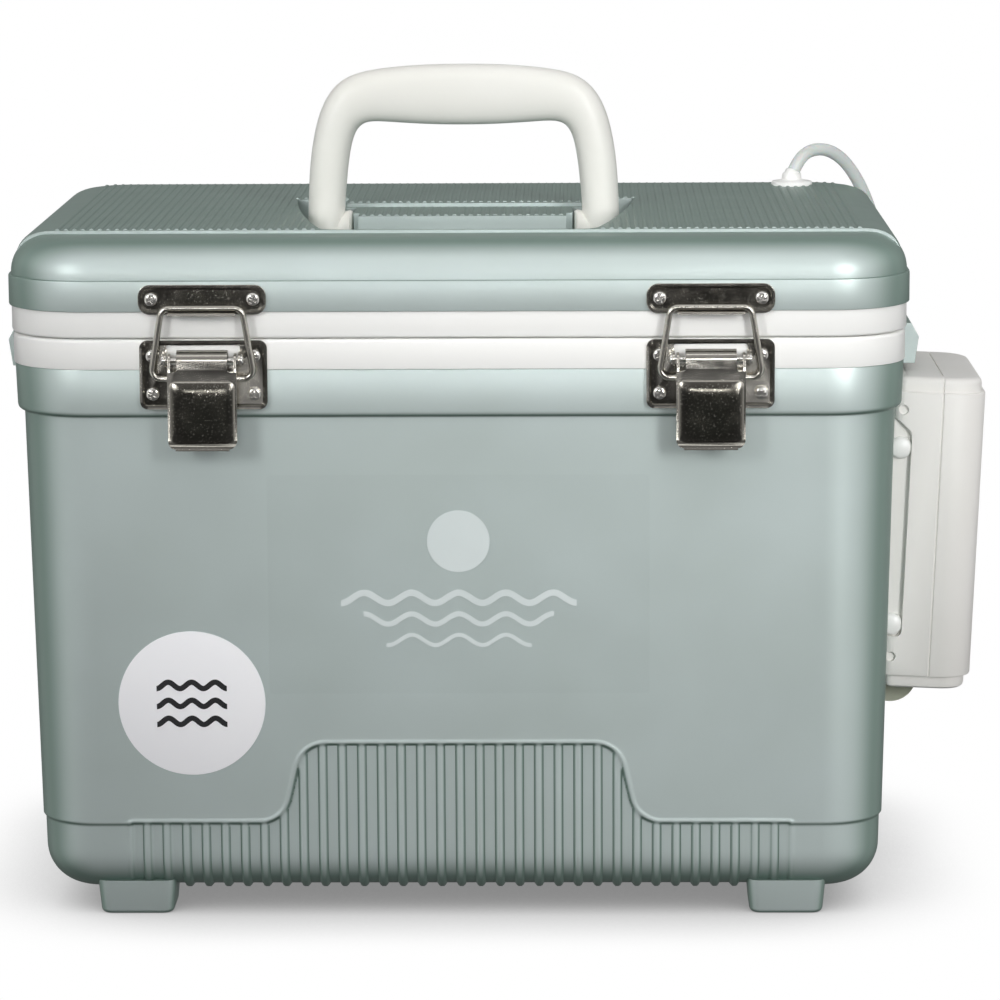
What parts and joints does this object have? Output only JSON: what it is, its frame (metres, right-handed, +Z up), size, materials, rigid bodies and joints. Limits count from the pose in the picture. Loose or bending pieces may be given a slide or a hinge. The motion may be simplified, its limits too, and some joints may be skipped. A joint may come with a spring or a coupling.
{
  "type": "aerated bait bucket",
  "caption": "Insulated hard-sided live-bait cooler with latched hinged lid, folding handle and side-hung battery air pump feeding a hose and air stone.",
  "frame": {"origin": "centre of the tub's footprint on the surface its feet stand on", "axes": "+Z up, -Y towards the latches, +X towards the air pump, X along the long side"},
  "size_m": [0.4048, 0.2555, 0.3368],
  "materials": {
    "shell_green": "pearlescent satin, moulded",
    "liner_white": "smooth moulded",
    "foam": "rigid foam",
    "gasket_grey": "soft",
    "handle_white": "satin moulded",
    "latch_steel": "polished dark nickel",
    "screw_steel": "bright",
    "hinge_steel": "satin",
    "pump_white": "satin moulded",
    "pump_grey": "moulded",
    "hose_clear": "translucent",
    "stone_grey": "porous",
    "label_film": "thin film",
    "label_print": "printed",
    "cell_wrap": "wrapped",
    "contact_brass": "bare",
    "motor_steel": "plated",
    "mechanism_plastic": "moulded"
  },
  "bodies": {
    "tub": {"tub_outer_shell": "shell_green", "strap_lugs": "shell_green", "tub_foam": "foam", "tub_liner": "liner_white", "film_label": "label_film", "round_label": "label_print", "hinge_tub_leaves": "hinge_steel", "hinge_pins": "hinge_steel", "hinge_tub_screws": "screw_steel", "base_plate_left": "latch_steel", "base_plate_right": "latch_steel", "base_screws_left": "screw_steel", "base_screws_right": "screw_steel", "pivot_pin_left": "latch_steel", "pivot_pin_right": "latch_steel", "pump_inner_shell": "pump_white", "pump_outer_shell": "pump_white", "pump_battery_door": "pump_white", "pump_bracket": "pump_grey", "pump_side_plugs": "liner_white", "pump_nozzle": "liner_white", "d_cells": "cell_wrap", "upper_contacts": "contact_brass", "lower_contact": "contact_brass", "motor": "motor_steel", "connecting_rod": "mechanism_plastic", "diaphragm": "gasket_grey", "air_head": "mechanism_plastic", "air_stone": "stone_grey", "stone_nipple": "liner_white", "outer_air_hose": "hose_clear", "inner_air_hose": "hose_clear"},
    "lid": {"lid_shell": "shell_green", "lid_foam": "foam", "lid_liner": "liner_white", "lid_gasket": "gasket_grey", "handle_pins": "hinge_steel", "hinge_lid_leaves": "hinge_steel", "hinge_lid_screws": "screw_steel", "keeper_left": "latch_steel", "keeper_right": "latch_steel", "keeper_screws_left": "screw_steel", "keeper_screws_right": "screw_steel", "hose_bulkhead": "liner_white", "bulkhead_nut": "liner_white"},
    "handle": {"handle": "handle_white"},
    "lever_left": {"lever_left": "latch_steel"},
    "lever_right": {"lever_right": "latch_steel"},
    "bail_left": {"bail_left": "screw_steel"},
    "bail_right": {"bail_right": "screw_steel"},
    "shaft": {"motor_shaft": "screw_steel"},
    "slider": {"switch_slider": "pump_grey"}
  },
  "joints": [
    {"name": "lid_hinge", "type": "hinge", "parent": "tub", "child": "lid", "pos_m": [0, 0.1226, 0.2367], "axis": [-1, 0, 0], "range_deg": [0, 100], "deforming": ["outer_air_hose", "inner_air_hose"]},
    {"name": "handle_pivot", "type": "hinge", "parent": "lid", "child": "handle", "pos_m": [0, 0, 0.264], "axis": [1, 0, 0], "range_deg": [0, 90]},
    {"name": "lever_left_turn", "type": "hinge", "parent": "tub", "child": "lever_left", "pos_m": [-0.0998, -0.1235, 0.229], "axis": [-1, 0, 0], "range_deg": [0, 100]},
    {"name": "bail_left_turn", "type": "hinge", "parent": "lever_left", "child": "bail_left", "pos_m": [-0.0998, -0.1235, 0.222], "axis": [-1, 0, 0], "range_deg": [-150, 0]},
    {"name": "lever_right_turn", "type": "hinge", "parent": "tub", "child": "lever_right", "pos_m": [0.0998, -0.1235, 0.229], "axis": [-1, 0, 0], "range_deg": [0, 100]},
    {"name": "bail_right_turn", "type": "hinge", "parent": "lever_right", "child": "bail_right", "pos_m": [0.0998, -0.1235, 0.222], "axis": [-1, 0, 0], "range_deg": [-150, 0]},
    {"name": "motor_spin", "type": "hinge", "parent": "tub", "child": "shaft", "pos_m": [0.19561, 0, 0.17131], "axis": [0, 1, 0], "continuous": true},
    {"name": "switch_slide", "type": "slide", "parent": "tub", "child": "slider", "axis": [0.0436, 0, 0.999], "range_m": [0, 0.009]}
  ],
  "couplings": [
    {"joint": "bail_left_turn", "follows": "lever_left_turn", "ratio": -1.5},
    {"joint": "bail_right_turn", "follows": "lever_right_turn", "ratio": -1.5}
  ]
}
